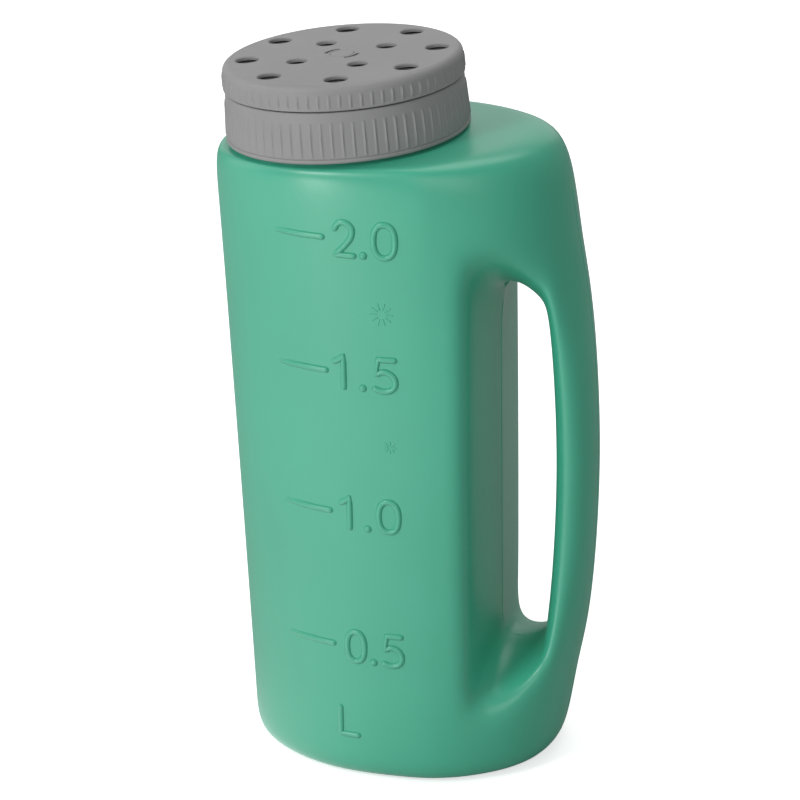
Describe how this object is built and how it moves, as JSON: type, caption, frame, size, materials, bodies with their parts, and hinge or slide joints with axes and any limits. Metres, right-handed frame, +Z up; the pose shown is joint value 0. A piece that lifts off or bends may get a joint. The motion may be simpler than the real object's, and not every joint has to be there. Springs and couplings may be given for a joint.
{
  "type": "shaker bottle",
  "caption": "Oval two-litre shaker bottle with a moulded-through side handle, raised litre marks, and a screw cap whose rotating perforated dial opens and closes the sifter holes.",
  "frame": {"origin": "on the flat base that the bottle stands on, under the middle of the dial's top", "axes": "+Z up, +X from the neck towards the handle, the seam plane is y = 0, and the raised marks are on the -Y side"},
  "size_m": [0.152, 0.101, 0.2918],
  "materials": {
    "green_polyethylene": "satin",
    "grey_polypropylene": "satin",
    "black_rubber": "matte"
  },
  "bodies": {
    "bottle": {"bottle": "green_polyethylene"},
    "seal": {"sealing_ring": "black_rubber"},
    "screw_cap": {"screw_cap": "grey_polypropylene"},
    "dial": {"shaker_dial": "grey_polypropylene"}
  },
  "joints": [
    {"name": "cap_lift", "type": "slide", "parent": "bottle", "child": "seal", "axis": [-0.068, 0, 0.9977], "range_m": [0, 0.02]},
    {"name": "cap_unscrew", "type": "hinge", "parent": "seal", "child": "screw_cap", "pos_m": [0, 0, 0.2888], "axis": [-0.068, 0, 0.9977], "range_deg": [0, 1440]},
    {"name": "dial_turn", "type": "hinge", "parent": "screw_cap", "child": "dial", "pos_m": [0, 0, 0.2888], "axis": [-0.068, 0, 0.9977], "continuous": true}
  ],
  "couplings": [
    {"joint": "cap_unscrew", "follows": "cap_lift", "rad_per_m": 1256.6}
  ]
}
